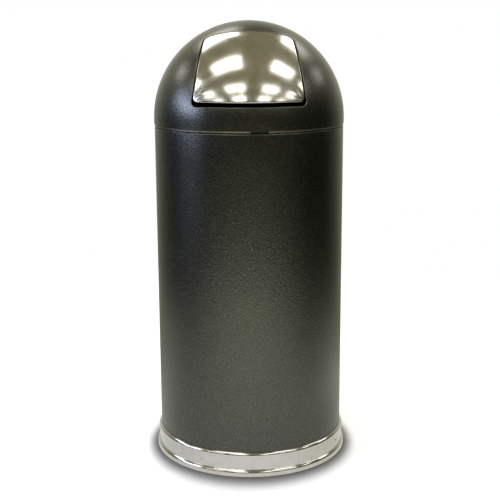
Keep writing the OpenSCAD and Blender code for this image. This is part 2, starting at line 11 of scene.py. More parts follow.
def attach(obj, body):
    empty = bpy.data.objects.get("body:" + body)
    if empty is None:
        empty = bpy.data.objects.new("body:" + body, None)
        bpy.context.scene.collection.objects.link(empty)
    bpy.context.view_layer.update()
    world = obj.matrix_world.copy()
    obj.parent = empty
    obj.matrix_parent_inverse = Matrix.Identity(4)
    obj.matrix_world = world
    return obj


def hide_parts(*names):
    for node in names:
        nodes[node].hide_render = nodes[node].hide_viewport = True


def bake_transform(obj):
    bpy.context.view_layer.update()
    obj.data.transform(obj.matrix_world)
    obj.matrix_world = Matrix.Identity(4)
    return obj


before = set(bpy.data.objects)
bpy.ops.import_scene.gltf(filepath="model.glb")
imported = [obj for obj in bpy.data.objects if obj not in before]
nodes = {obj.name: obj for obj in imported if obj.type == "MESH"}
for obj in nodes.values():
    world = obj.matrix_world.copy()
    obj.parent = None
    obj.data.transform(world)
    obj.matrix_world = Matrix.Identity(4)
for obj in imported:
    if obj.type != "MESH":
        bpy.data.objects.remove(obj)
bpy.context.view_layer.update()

scene = bpy.context.scene


# colours and shader nodes

def toLinear(code):
    # "#rrggbb" as painters pick it, to the linear values that Blender mixes
    parts = [int(code[i:i + 2], 16) / 255 for i in (1, 3, 5)]
    return [c / 12.92 if c <= 0.04045 else ((c + 0.055) / 1.055) ** 2.4 for c in parts] + [1.0]


def addNode(tree, kind, links=None, values=None, **settings):
    node = tree.nodes.new(kind)
    for key, value in settings.items():
        setattr(node, key, value)
    for socket, value in (values or {}).items():
        node.inputs[socket].default_value = value
    for socket, source in (links or {}).items():
        tree.links.new(source, node.inputs[socket])
    return node


def startMaterial(name, values):
    material = bpy.data.materials.new(name)
    material.use_nodes = True
    tree = material.node_tree
    shader = tree.nodes["Principled BSDF"]
    for socket, value in values.items():
        shader.inputs[socket].default_value = value
    place = addNode(tree, "ShaderNodeTexCoord").outputs["Object"]
    return material, tree, shader, place


def ramp(tree, source, stops):
    node = addNode(tree, "ShaderNodeValToRGB", {"Fac": source})
    elements = node.color_ramp.elements
    while len(elements) < len(stops):
        elements.new(0.5)
    for element, (position, colour) in zip(elements, stops):
        element.position = position
        element.color = toLinear(colour) if isinstance(colour, str) else [colour] * 3 + [1]
    return node.outputs["Color"]


def around(tree, way, level, sides):
    # one ramp of colours by level for each side of the room, blended by the way looked
    axes = addNode(tree, "ShaderNodeSeparateXYZ", {"Vector": way}).outputs
    squares = {axis: addNode(tree, "ShaderNodeMath", {0: axes[axis], 1: axes[axis]},
                             operation="MULTIPLY").outputs[0] for axis in "XY"}
    both = addNode(tree, "ShaderNodeMath", {0: squares["X"], 1: squares["Y"]}, {2: 1e-6},
                   operation="ADD").outputs[0]
    turn = addNode(tree, "ShaderNodeMath", {0: squares["X"], 1: both}, operation="DIVIDE")
    turn = addNode(tree, "ShaderNodeMapRange", {"Value": turn.outputs[0]}, {"From Max": 0.92})
    across, along = (addNode(tree, "ShaderNodeMath", {0: axes[axis]}, {1: 0.0},
                             operation="GREATER_THAN").outputs[0] for axis in "XY")

    def between(factor, first, second):
        return addNode(tree, "ShaderNodeMix", {"Factor": factor, "A": first, "B": second},
                       data_type="RGBA").outputs["Result"]

    ramps = {side: ramp(tree, level, stops) for side, stops in sides.items()}
    return between(turn.outputs[0], between(along, ramps["front"], ramps["behind"]),
                   between(across, ramps["left"], ramps["right"]))


def band(tree, source, low, high, edge):
    # one between two lengths in millimetres and nought outside them, eased over "edge"
    up, down = (addNode(tree, "ShaderNodeMapRange", {"Value": source},
                        {"From Min": start / 1000, "From Max": (start + edge) / 1000,
                         "To Min": ends[0], "To Max": ends[1]}).outputs["Result"]
                for start, ends in ((low, (0.0, 1.0)), (high - edge, (1.0, 0.0))))
    return addNode(tree, "ShaderNodeMath", {0: up, 1: down}, operation="MULTIPLY").outputs[0]


def perMetre(sizeMm):
    # texture scale that gives features of this size
    return 1000 / sizeMm


def noise(tree, place, sizeMm, detail, **more):
    return addNode(tree, "ShaderNodeTexNoise", {"Vector": place},
                   {"Scale": perMetre(sizeMm), "Detail": detail, **more}).outputs["Fac"]


def addBump(tree, shader, source, strength, depthMm):
    bump = addNode(tree, "ShaderNodeBump", {"Height": source},
                   {"Strength": strength, "Distance": depthMm / 1000})
    tree.links.new(bump.outputs["Normal"], shader.inputs["Normal"])


# Hammertone powder coat: a charcoal polyester powder with silver leaf in it, baked on steel.
# The melt draws into small cells and the leaf lies unevenly in it, so its gloss is mottled with
# olive grey flecks. The real pattern may be finer: leaf and cells are here about one and two
# pixels of the render wide. Where two sections bear on each other the coat is made bright bare
# metal, most towards the front, where the dome is handled: scuffs from rubbing, which also paint
# the highlight lines of these edges and of the dome's lip. The ring's lower bead is dulled under a
# given height, a painted shade in the groove there.
# the "bright" tone is that of the painted highlight lines; the last gloss and edge are those of the
# painted shade in the ring's groove
hammertone = {
    "charcoal": "#060704", "vein": "#0f100b", "fleck": "#34352b", "bright": "#aaa690",
    "sheen": "#fffff0", "leafSize": 2.3, "cellSize": 3.9, "cloudSize": 60,
    "turn": (0.5, 0.9, 0.4), "gloss": (0.34, 0.58), "roughness": (0.28, 0.31),
    "cellDepth": 0.4, "shadeGloss": 0.15, "shadeEdge": 0.8,
}
# where the painted highlight lines of bright metal lie and how they fade, brightest towards "way"
paintedHighlight = {
    "way": (-0.15, -0.99, 0.0), "least": 0.12, "from": 191.0, "edge": 0.6,
    "spared": (3.4, 37.0), "lipUnder": (0.85, 0.1), "lipEdge": 0.15, "mouth": 128.0,
}
beyond = 999.0      # further out or up than any piece reaches


def multiplied(tree, first, second):
    return addNode(tree, "ShaderNodeMath", {0: first, 1: second}, operation="MULTIPLY").outputs[0]


def paintedSeamHighlight(tree, place, height, highlightBand, lipped):
    # one where the coat is scuffed bright, a painted highlight line, between the two given heights,
    # further out than "from"
    flat = addNode(tree, "ShaderNodeVectorMath", {0: place}, {1: (1, 1, 0)}, operation="MULTIPLY")
    out = addNode(tree, "ShaderNodeVectorMath", {0: flat.outputs["Vector"]}, operation="LENGTH")
    way = addNode(tree, "ShaderNodeVectorMath", {0: flat.outputs["Vector"]}, operation="NORMALIZE")
    toward = addNode(tree, "ShaderNodeVectorMath", {0: way.outputs["Vector"]},
                     {1: paintedHighlight["way"]}, operation="DOT_PRODUCT")
    highlightMask = addNode(tree, "ShaderNodeMapRange", {"Value": toward.outputs["Value"]},
                   {"From Min": 0.7, "To Min": paintedHighlight["least"]}).outputs["Result"]
    edge = paintedHighlight["edge"]
    highlightMask = multiplied(tree, highlightMask, band(tree, out.outputs["Value"], paintedHighlight["from"], beyond, edge))
    highlightMask = multiplied(tree, highlightMask, band(tree, height, *highlightBand, edge))
    if lipped:
        # the dome has no painted highlight over the gap of the locating ring, where nothing rubs it
        across = addNode(tree, "ShaderNodeSeparateXYZ", {"Vector": place}).outputs["X"]
        kept = addNode(tree, "ShaderNodeMath", {1: band(tree, across, *paintedHighlight["spared"], edge)},
                       {0: 1.0}, operation="SUBTRACT").outputs[0]
        highlightMask = multiplied(tree, highlightMask, kept)
    return highlightMask


def paintedLipHighlight(tree, place, height):
    # the painted highlight along the round of the opening's lip, which lies a little under the
    # dome's ball, within its mouth
    middle = addNode(tree, "ShaderNodeVectorMath", {0: place}, {1: domeCentre / 1000},
                     operation="SUBTRACT").outputs["Vector"]
    reach = addNode(tree, "ShaderNodeVectorMath", {0: middle}, operation="LENGTH")
    ahead = addNode(tree, "ShaderNodeVectorMath", {0: middle}, {1: facing},
                    operation="DOT_PRODUCT")
    low, high = (domeSize["radius"] - under for under in paintedHighlight["lipUnder"])
    lip = band(tree, reach.outputs["Value"], low, high, paintedHighlight["lipEdge"])
    lip = multiplied(tree, lip, band(tree, height, domeSize["centre"] + 2, beyond, 1.0))
    return multiplied(tree, lip, band(tree, ahead.outputs["Value"], paintedHighlight["mouth"], beyond, 1.0))


def hammertonePowderCoat(name, highlightBand, grooveShadeHeight=0.0, lipped=False):
    # the third argument is the height under which the gloss is dulled, a painted shade in a groove;
    # "lipped" is for the dome, and adds the painted highlight on its lip
    h = hammertone
    material, tree, shader, place = startMaterial(
        name, {"IOR": 1.85, "Specular Tint": toLinear(h["sheen"])})
    skew = addNode(tree, "ShaderNodeMapping", {"Vector": place}, {"Rotation": h["turn"]})
    leaf = noise(tree, skew.outputs["Vector"], h["leafSize"], 2.0, Roughness=0.6)
    cell = addNode(tree, "ShaderNodeTexVoronoi", {"Vector": skew.outputs["Vector"]},
                   {"Scale": perMetre(h["cellSize"]), "Smoothness": 1.0}, feature="SMOOTH_F1")
    cloud = noise(tree, place, h["cloudSize"], 2.0)
    height = addNode(tree, "ShaderNodeSeparateXYZ", {"Vector": place}).outputs["Z"]
    # painted highlight lines: bright metal along the seams, and for the dome round its lip too
    highlightMask = paintedSeamHighlight(tree, place, height, highlightBand, lipped)
    if lipped:
        highlightMask = addNode(tree, "ShaderNodeMath", {0: highlightMask, 1: paintedLipHighlight(tree, place, height)},
                       operation="MAXIMUM").outputs[0]
    tree.links.new(highlightMask, shader.inputs["Metallic"])
    veins = ramp(tree, cell.outputs["Distance"], [(0.15, h["charcoal"]), (0.62, h["vein"])])
    spots = ramp(tree, leaf, [(0.5, 0.0), (0.72, 1.0)])
    colour = veins
    for factor, tone in ((spots, "fleck"), (highlightMask, "bright")):
        mix = addNode(tree, "ShaderNodeMix", {"Factor": factor, "A": colour}, data_type="RGBA")
        mix.inputs["B"].default_value = toLinear(h[tone])
        colour = mix.outputs["Result"]
    tree.links.new(colour, shader.inputs["Base Color"])
    mottle = addNode(tree, "ShaderNodeMapRange", {"Value": leaf},
                     {"From Min": 0.3, "From Max": 0.7, "To Min": h["gloss"][0],
                      "To Max": h["gloss"][1]})
    # painted shade: the gloss is dulled under the given height, in the groove under the ring's bead
    grooveShade = addNode(tree, "ShaderNodeMapRange", {"Value": height},
                   {"From Min": (grooveShadeHeight - h["shadeEdge"]) / 1000, "From Max": grooveShadeHeight / 1000,
                    "To Min": h["shadeGloss"]})
    tree.links.new(multiplied(tree, mottle.outputs["Result"], grooveShade.outputs["Result"]),
                   shader.inputs["Specular IOR Level"])
    blur = addNode(tree, "ShaderNodeMapRange", {"Value": cloud},
                   {"From Min": 0.3, "From Max": 0.7, "To Min": h["roughness"][0],
                    "To Max": h["roughness"][1]})
    tree.links.new(blur.outputs["Result"], shader.inputs["Roughness"])
    addBump(tree, shader, cell.outputs["Distance"], 0.5, h["cellDepth"])
    return material


# Matt powder coat on the pan: the same charcoal, sprayed thin, so it stays dull and even.
def mattPowderCoat():
    material, tree, shader, place = startMaterial("mattPowderCoat", {"IOR": 1.5})
    patch = noise(tree, place, 45, 3.0)
    tree.links.new(ramp(tree, patch, [(0.35, "#2b2c29"), (0.7, "#3b3c38")]),
                   shader.inputs["Base Color"])
    tree.links.new(ramp(tree, patch, [(0.3, 0.55), (0.7, 0.7)]), shader.inputs["Roughness"])
    addBump(tree, shader, noise(tree, place, 1.5, 2.0), 0.3, 0.3)
    return material


# Polished metal: sheet buffed with a soft wheel. It mirrors the room, a little soft at the
# edges of lights, with faint swirls where the wheel went round.
def polishedMetal(name, colour, shade, roughness, swirlSize):
    material, tree, shader, place = startMaterial(name, {"Metallic": 1.0, "Roughness": roughness})
    cloud = noise(tree, place, swirlSize, 4.0, Distortion=1.5)
    tree.links.new(ramp(tree, cloud, [(0.3, shade), (0.7, colour)]), shader.inputs["Base Color"])
    haze = addNode(tree, "ShaderNodeMapRange", {"Value": cloud},
                   {"From Min": 0.3, "From Max": 0.75, "To Min": roughness,
                    "To Max": roughness * 1.6})
    tree.links.new(haze.outputs["Result"], shader.inputs["Roughness"])
    addBump(tree, shader, noise(tree, place, 0.8, 2.0), 0.03, 0.1)
    return material


# Hot-dip galvanised steel: sheet drawn from a zinc bath. The zinc freezes in large crystals,
# each with its own grey and its own dullness.
def galvanisedSteel():
    material, tree, shader, place = startMaterial("galvanisedSteel", {"Metallic": 1.0})
    spangle = addNode(tree, "ShaderNodeTexVoronoi", {"Vector": place},
                      {"Scale": perMetre(14), "Randomness": 1.0})
    fern = noise(tree, place, 3, 4.0, Distortion=0.8)
    grey = addNode(tree, "ShaderNodeMix", {"A": spangle.outputs["Color"], "B": fern},
                   {"Factor": 0.35}, data_type="RGBA")
    tree.links.new(ramp(tree, grey.outputs["Result"],
                        [(0.25, "#8a9093"), (0.5, "#a2a8aa"), (0.75, "#bcc1c2")]),
                   shader.inputs["Base Color"])
    tree.links.new(ramp(tree, grey.outputs["Result"], [(0.2, 0.52), (0.8, 0.3)]),
                   shader.inputs["Roughness"])
    addBump(tree, shader, fern, 0.15, 0.2)
    return material


# Drawn or pressed steel with a thin zinc plating: an even grey with faint marks of the die
# along one direction.
def platedSteel(name, light, dark, roughness, drawn):
    material, tree, shader, place = startMaterial(name, {"Metallic": 1.0})
    along = addNode(tree, "ShaderNodeMapping", {"Vector": place}, {"Scale": drawn})
    line = noise(tree, along.outputs["Vector"], 1.2, 3.0)
    mix = addNode(tree, "ShaderNodeMix", {"A": line, "B": noise(tree, place, 9, 3.0)},
                  {"Factor": 0.5}, data_type="RGBA")
    tree.links.new(ramp(tree, mix.outputs["Result"], [(0.35, dark), (0.65, light)]),
                   shader.inputs["Base Color"])
    tree.links.new(ramp(tree, mix.outputs["Result"], [(0.3, roughness + 0.1), (0.7, roughness)]),
                   shader.inputs["Roughness"])
    addBump(tree, shader, line, 0.2, 0.1)
    return material


# Moulded plastic or rubber: the fine eroded grain of the mould, and a bloom on its surface.
def mouldedPolymer(name, light, dark, roughness, grainSize):
    material, tree, shader, place = startMaterial(name, {"IOR": 1.52})
    bloom = noise(tree, place, 6, 3.0)
    tree.links.new(ramp(tree, bloom, [(0.35, dark), (0.65, light)]), shader.inputs["Base Color"])
    tree.links.new(ramp(tree, bloom, [(0.3, roughness), (0.7, roughness + 0.12)]),
                   shader.inputs["Roughness"])
    addBump(tree, shader, noise(tree, place, grainSize, 2.0), 0.25, 0.2)
    return material


# each pair of heights bounds a painted highlight line along a seam; the ring's groove is dulled
# under the height after it, as painted shade
bodyPaint = hammertonePowderCoat("hammertoneBodyCoat", (688.4, 690.0))
ringPaint = hammertonePowderCoat("hammertoneRingCoat", (692.7, 696.0), grooveShadeHeight=692.2)
panPaint = mattPowderCoat()
doorSteel = polishedMetal("polishedStainlessSteel", "#cfcdc5", "#c4c1b8", 0.14, 50)
ringChrome = polishedMetal("polishedChromedSteel", "#cccbc6", "#c2c1bb", 0.09, 40)
galvanised = galvanisedSteel()
zincPlated = platedSteel("zincPlatedSteel", "#b4b7b5", "#949896", 0.3, (1, 1, 0.2))
drawnWire = platedSteel("drawnZincWire", "#bfc2c1", "#a1a5a4", 0.25, (1, 0.3, 1))
springWire = platedSteel("brightSpringWire", "#a9abaa", "#7d8080", 0.22, (0.3, 1, 1))
groundSteel = platedSteel("groundSteelRod", "#cdcfce", "#aeb1b0", 0.18, (3, 0.5, 0.5))
rivetSteel = platedSteel("polishedRivetSteel", "#d0d0cd", "#b4b4b0", 0.15, (1, 1, 1))
nylon = mouldedPolymer("mouldedNylon", "#e8e5da", "#dad6c8", 0.38, 0.6)
rubber = mouldedPolymer("mouldedRubber", "#1c1c1b", "#121212", 0.6, 0.5)
print("materials made:", len(bpy.data.materials))


# mesh helpers

def finishPiece(bm, name, body, material, stands=(), sharp=32, scale=0.001):
    bmesh.ops.remove_doubles(bm, verts=bm.verts, dist=2e-6 / scale)
    bmesh.ops.recalc_face_normals(bm, faces=bm.faces)
    bmesh.ops.scale(bm, vec=(scale, scale, scale), verts=bm.verts)
    for face in bm.faces:
        face.smooth = True
    mesh = bpy.data.meshes.new(name)
    bm.to_mesh(mesh)
    bm.free()
    mesh.set_sharp_from_angle(angle=radians(sharp))
    mesh.materials.append(material)
    piece = bpy.data.objects.new(name, mesh)
    scene.collection.objects.link(piece)
    if body:
        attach(piece, body)
    if stands:
        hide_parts(*stands)
    return piece


def arc(centre, radius, first, last, steps=8):
    # points of an arc in a section, [distance from the axis, height]
    return [(centre[0] + radius * cos(radians(first + (last - first) * i / steps)),
             centre[1] + radius * sin(radians(first + (last - first) * i / steps)))
            for i in range(steps + 1)]


def sheetSection(path, thick):
    # closed section of a sheet that lies to the right of the path, with its cut edges eased
    points = [Vector(p) for p in path]
    ways = [(b - a).normalized() for a, b in zip(points, points[1:])]
    inner = []
    for i, point in enumerate(points):
        a, b = ways[max(i - 1, 0)], ways[min(i, len(ways) - 1)]
        middle = (a + b).normalized()
        inner.append(point + Vector((middle.y, -middle.x)) * thick / middle.dot(a))
    ease = thick * 0.22
    start, end = ways[0] * ease, ways[-1] * ease
    outer = [points[0] + start] + points[1:-1] + [points[-1] - end]
    side = Vector((ways[-1].y, -ways[-1].x)) * ease
    headSide = Vector((ways[0].y, -ways[0].x)) * ease
    back = [points[-1] + side, inner[-1] - side, inner[-1] - end]
    back += list(reversed(inner[1:-1]))
    back += [inner[0] + start, inner[0] - headSide, points[0] + headSide]
    return outer + back


def turned(section, steps=256, start=0.0, sweep=360.0):
    # a closed section turned about the upright axis
    bm = bmesh.new()
    verts = [bm.verts.new((x * cos(radians(start)), x * sin(radians(start)), z))
             for x, z in section]
    edges = [bm.edges.new(pair) for pair in zip(verts, verts[1:] + verts[:1])]
    whole = sweep >= 360
    out = bmesh.ops.spin(bm, geom=verts + edges, cent=(0, 0, 0), axis=(0, 0, 1),
                         angle=radians(sweep), steps=steps, use_merge=whole)
    if not whole:
        last = [g for g in out["geom_last"] if isinstance(g, bmesh.types.BMEdge)]
        bmesh.ops.edgeloop_fill(bm, edges=edges)
        bmesh.ops.edgeloop_fill(bm, edges=last)
    return bm


def skinned(rows, wrap=False):
    # closed rings of points, skinned one after the other by extruding the last ring
    bm = bmesh.new()
    spot = bm.verts.layers.int.new("spot")
    bmesh.ops.create_circle(bm, segments=len(rows[0]), radius=1)
    bm.verts.ensure_lookup_table()
    for vert in bm.verts:
        vert[spot] = vert.index
        vert.co = rows[0][vert.index]
    first = edges = list(bm.edges)
    for row in rows[1:]:
        geom = bmesh.ops.extrude_edge_only(bm, edges=edges)["geom"]
        edges = [g for g in geom if isinstance(g, bmesh.types.BMEdge) and g.is_boundary]
        for vert in (g for g in geom if isinstance(g, bmesh.types.BMVert)):
            vert.co = row[vert[spot]]
    if wrap:
        bmesh.ops.bridge_loops(bm, edges=first + edges)
    return bm


def tubeRows(path, radii, sides=12):
    # rings of a tube along a path, closed to a point at both ends
    points = [Vector(p) for p in path]
    rows, across = [], None
    for i, point in enumerate(points):
        way = (points[min(i + 1, len(points) - 1)] - points[max(i - 1, 0)]).normalized()
        if across is None:
            across = way.orthogonal().normalized()
        across = (across - way * across.dot(way)).normalized()
        other = way.cross(across)
        rows.append([point + (across * cos(2 * pi * k / sides) + other * sin(2 * pi * k / sides))
                     * radii[i] for k in range(sides)])
    return [[points[0]] * sides] + rows + [[points[-1]] * sides]


def dressed(nodeName, pieceName, body, material, ease=0.25, sharp=32):
    # a stamped or moulded piece: its CAD solid with the edges eased as a die or mould leaves them
    bm = bmesh.new()
    bm.from_mesh(nodes[nodeName].data)
    bmesh.ops.remove_doubles(bm, verts=bm.verts, dist=3e-6)
    bmesh.ops.dissolve_limit(bm, angle_limit=radians(0.6), verts=bm.verts, edges=bm.edges)
    rims = [e for e in bm.edges if e.is_manifold and e.calc_face_angle(0) > radians(38)]
    bmesh.ops.bevel(bm, geom=rims, offset=ease / 1000, affect="EDGES", segments=2, profile=0.5,
                    material=-1, clamp_overlap=True)
    bmesh.ops.triangulate(bm, faces=[f for f in bm.faces if len(f.verts) > 4])
    return finishPiece(bm, pieceName, body, material, (nodeName,), sharp, scale=1)


def atAzimuth(azimuth, radius, height):
    # a point counted from the front towards the right
    a = radians(azimuth)
    return Vector((radius * sin(a), -radius * cos(a), height))


# body

bodySize = {
    "radius": 194.35, "sheet": 0.9, "bottom": 0.85, "rimTop": 689.3, "rimRound": 1.0,
    "foldDepth": 12.0, "seamWidth": 13.0, "seamRise": 0.45, "seamFrom": 51.0, "seamTo": 686.0,
    "weldPitch": 38.0, "weldFrom": 20.0, "weldHigh": 3.2, "weldWide": 2.4, "weldDeep": 0.22,
}


def makeBody():
    b = bodySize
    inside = b["radius"] - b["sheet"]
    fold = b["radius"] - 2 * b["rimRound"]
    rim = (b["radius"] - b["rimRound"], b["rimTop"] - b["rimRound"])
    end = rim[1] - b["foldDepth"]
    section = [(b["radius"] - 0.2, b["bottom"]), (b["radius"], b["bottom"] + 0.2)]
    section += [(b["radius"], b["bottom"] + (rim[1] - b["bottom"]) * i / 12) for i in range(1, 12)]
    section += arc(rim, b["rimRound"], 0, 180, 12)
    section += [(fold, end + 0.3), (fold + 0.3, end), (fold + 0.8, end + 0.1), (inside, end + 0.6)]
    section += [(inside, b["bottom"] + 0.2), (inside + 0.2, b["bottom"])]
    finishPiece(turned(section, 320), "bodyShell", "body", bodyPaint,
                ("body_shell",))

    # the sheet's outer edge where it laps over itself down the back, with its row of spot welds
    rows, width, wide = [], 9, b["seamWidth"]
    steps = int((b["seamTo"] - b["seamFrom"]) / 6)
    for i in range(steps + 1):
        z = b["seamFrom"] + (b["seamTo"] - b["seamFrom"]) * i / steps
        ring = []
        for k in range(width):
            x = -wide / 2 + wide * k / (width - 1)
            rise = b["seamRise"] * min(1, (k + 0.3) / 1.3, (width - 1 - k + 0.3) / 1.3)
            along = z - b["seamFrom"] - b["weldFrom"]
            pit = abs(along % b["weldPitch"] - b["weldPitch"] / 2)
            if pit < b["weldHigh"] and abs(x) < b["weldWide"]:
                rise -= b["weldDeep"]
            if i in (0, steps):
                rise *= 0.3
            ring.append(atAzimuth(180 + x / b["radius"] * 180 / pi, b["radius"] + rise, z))
        ring += [atAzimuth(180 + side * wide / 2 / b["radius"] * 180 / pi, b["radius"] - 0.4, z)
                 for side in (1, -1)]
        rows.append(ring)
    ends = [[sum(r, Vector()) / len(r)] * len(r) for r in (rows[0], rows[-1])]
    finishPiece(skinned([ends[0]] + rows + [ends[1]]), "backSeam", "body", bodyPaint)
    print("body made")


makeBody()

panSize = {"sheet": 1.2, "under": 18.0, "flange": 24.0, "radius": 193.4, "corner": 6.0,
           "boss": 120.0, "bossRise": 4.0}


def makePan():
    p = panSize
    path = [(p["radius"], p["under"] + p["flange"])]
    path += arc((p["radius"] - p["corner"], p["under"] + p["corner"]), p["corner"], 0, -90, 8)
    path += [(p["boss"] + 5, p["under"]), (p["boss"] + 3, p["under"] + 0.8),
             (p["boss"] + 1, p["under"] + p["bossRise"] - 0.8),
             (p["boss"] - 1, p["under"] + p["bossRise"]), (0.02, p["under"] + p["bossRise"])]
    finishPiece(turned(sheetSection(path, p["sheet"]), 192), "floorPan", "body",
                panPaint, ("floor_pan",))


makePan()

# base ring: two rolled shoulders with a flat band between them

ringSize = {"sheet": 0.8, "height": 49.8, "fit": 194.5, "band": 198.3, "shoulder": 199.8,
            "round": 7.0, "foot": 203.1, "footCentre": 6.8, "footRound": 1.4,
            "lip": 192.05, "lipHeight": 9.0}


def makeRing():
    r = ringSize
    top, foot = r["shoulder"] - r["round"], r["foot"] - r["round"]
    first = acos((r["fit"] - top) / (r["round"] - r["sheet"]))
    last = -acos((r["band"] - top) / r["round"])
    footFirst = acos((r["band"] - foot) / r["round"])
    topCentre = (top, r["height"] - r["round"] * sin(first))
    ease = radians(5)
    path = arc(topCentre, r["round"], first * 180 / pi, (last + ease) * 180 / pi, 24)
    bandTop = topCentre[1] + r["round"] * sin(last)
    bandFoot = r["footCentre"] + r["round"] * sin(footFirst)
    path += [(r["band"] + 0.03, bandTop - 0.5), (r["band"], bandTop - 1.2)]
    path += [(r["band"], bandTop + (bandFoot - bandTop) * i / 4) for i in (1, 2, 3)]
    path += [(r["band"], bandFoot + 1.2), (r["band"] + 0.03, bandFoot + 0.5)]
    path += arc((foot, r["footCentre"]), r["round"], (footFirst - ease) * 180 / pi, 0, 20)
    path += arc((r["foot"] - r["footRound"], r["footRound"]), r["footRound"], 0, -90, 6)
    path += arc((r["lip"] + r["footRound"], r["footRound"]), r["footRound"], -90, -180, 6)
    path += [(r["lip"], r["lipHeight"])]
    finishPiece(turned(sheetSection(path, r["sheet"]), 320), "baseRing", "body",
                ringChrome, ("base_ring",))
    print("base ring made")


makeRing()
dressed("base_ring_rivets", "baseRingRivets", "body", rivetSteel, 0.12)

# liner

linerSize = {"sheet": 0.7, "bottomRadius": 168.0, "topRadius": 174.0, "from": 19.5,
             "curl": (176.8, 658.5), "curlRound": 3.5, "beadHeight": 12.0, "beadOut": 2.5,
             "recess": 10.0}


def makeLiner():
    n = linerSize
    top = n["curl"][1]

    def wall(z):
        return n["bottomRadius"] + (n["topRadius"] - n["bottomRadius"]) * (z - n["from"]) \
            / (top - n["from"]) - n["sheet"]

    def bead(z):
        return [(wall(z + n["beadHeight"] / 2 * i / 10)
                 + n["beadOut"] * (1 + cos(radians(18 * i))) / 2, z + n["beadHeight"] / 2 * i / 10)
                for i in range(-10, 11)]

    high = n["curl"][1] + n["curlRound"] - n["from"]
    path = [(n["bottomRadius"] - n["sheet"], n["from"])]
    path += bead(n["from"] + 0.3 * high) + bead(n["from"] + 0.66 * high)
    path += arc(n["curl"], n["curlRound"], 180, -95, 24)
    finishPiece(turned(sheetSection(path, n["sheet"]), 256), "linerShell", "liner",
                galvanised, ("liner_shell",))
    out, floor = n["bottomRadius"] - n["sheet"] - 0.1, n["from"] + n["recess"]
    path = [(0.02, floor), (out - 4, floor)] + arc((out - 4, floor - 4), 4, 85, 0, 6)
    path += [(out, n["from"] + 0.4)]
    finishPiece(turned(sheetSection(path, n["sheet"]), 192), "linerBottom", "liner",
                galvanised, ("liner_bottom",))
    print("liner made")


makeLiner()
for side in ("left", "right"):
    dressed("bail_ear_" + side, "bailEar" + side.title(), "liner", galvanised, 0.3)
dressed("ear_rivets", "earRivets", "liner", rivetSteel, 0.2)

bailSize = {"wire": 3.0, "height": 665.3, "bend": 8.0, "bow": 168.8, "end": 186.3, "head": 4.0}


def makeBail():
    b = bailSize
    turn, bow = b["bend"], b["bow"]
    half = [(-b["end"] - 1.2, 0), (-b["end"] - 1.1, 0), (-b["end"] - 0.1, 0), (-b["end"], 0)]
    half += [(-bow - turn - 3, 0)]
    half += [(-bow - turn + turn * sin(radians(9 * i)), turn - turn * cos(radians(9 * i)))
             for i in range(11)]
    sweep = [(-bow * cos(radians(a)), turn + bow * sin(radians(a))) for a in range(2, 91, 2)]
    path = half + sweep
    path += [(-x, y) for x, y in reversed(path[:-1])]
    radii = [b["head"] - 0.4, b["head"], b["head"], b["wire"]]
    radii += [b["wire"]] * (len(path) - 8) + radii[::-1]
    rows = tubeRows([(x, y, b["height"]) for x, y in path], radii, 20)
    finishPiece(skinned(rows), "bailHandle", "bail", drawnWire, ("bail_handle",))


makeBail()

# dome: a ball of one radius over a short skirt, cut through for the door

domeSize = {
    "radius": 195.25, "sheet": 1.0, "centre": 706.457, "edge": 695.107, "tilt": 37.5,
    "lip": 4.5, "lipRound": 1.5,
}
openingSize = {
    "top": 85.0, "bottom": 90.5, "topWide": 177.4, "bottomWide": 228.8, "bow": 303.0,
    "topRound": 16.0, "bottomRound": 14.0,
}
outlineSteps = {"bow": 26, "bottomRound": 28, "side": 34, "topRound": 14, "top": 20}
tilt = radians(domeSize["tilt"])
domeCentre = Vector((0, 0, domeSize["centre"]))
facing = Vector((0, -cos(tilt), sin(tilt)))    # the way the opening looks
upward = Vector((0, sin(tilt), cos(tilt)))     # up along the dome, square to it


def openingPoint(u, v, w):
    return domeCentre + Vector((u, 0, 0)) + upward * v + facing * w


def onBall(u, v, radius):
    return openingPoint(u, v, sqrt(radius * radius - u * u - v * v))


def openingOutline(topIn, sideIn, bottomIn):
    # the opening's outline drawn in by three amounts, from its bottom middle round to the right
    o, steps = openingSize, outlineSteps
    high = Vector((o["topWide"] / 2, o["top"]))
    low = Vector((o["bottomWide"] / 2, -o["bottom"]))
    run = (low - high).normalized()
    out = Vector((-run.y, run.x))
    bow = Vector((0, o["bow"] - o["bottom"]))
    r1, r2 = o["topRound"] - sideIn, o["bottomRound"] - sideIn
    p = high - out * (sideIn + r1)
    c1 = p + run * (o["top"] - topIn - r1 - p.y) / run.y
    w = high - out * (sideIn + r2) - bow
    k = o["bow"] - bottomIn - r2
    c2 = bow + w + run * (sqrt(w.dot(run) ** 2 - w.dot(w) + k * k) - w.dot(run))
    sideAngle = atan2(out.y, out.x) * 180 / pi
    bowAngle = atan2(c2.y - bow.y, c2.x - bow.x) * 180 / pi
    half = arc(bow, o["bow"] - bottomIn, -90, bowAngle, steps["bow"])[:-1]
    half += arc(c2, r2, bowAngle, sideAngle, steps["bottomRound"])
    end = Vector(arc(c1, r1, sideAngle, 90, 1)[0])
    start = Vector(half[-1])
    half += [tuple(start.lerp(end, i / steps["side"])) for i in range(1, steps["side"])]
    half += arc(c1, r1, sideAngle, 90, steps["topRound"])
    x, y = half[-1]
    half += [(x * (1 - i / steps["top"]), y) for i in range(1, steps["top"] + 1)]
    return half + [(-x, y) for x, y in reversed(half[1:-1])]


def domeRow(start, radius, part):
    # part of the way along the ball from each point of the opening down to the ball's equator
    row = []
    for u, v in start:
        reach = hypot(u, v)
        first = asin(reach / radius)
        lean = v / reach
        last = pi / 2 if abs(lean) < 1e-9 else atan(-tan(tilt) / lean)
        last = last + pi if last < 0 else last
        angle = first + (last - first) * part
        side = radius * sin(angle) / reach
        row.append(openingPoint(u * side, v * side, radius * cos(angle)))
    return row


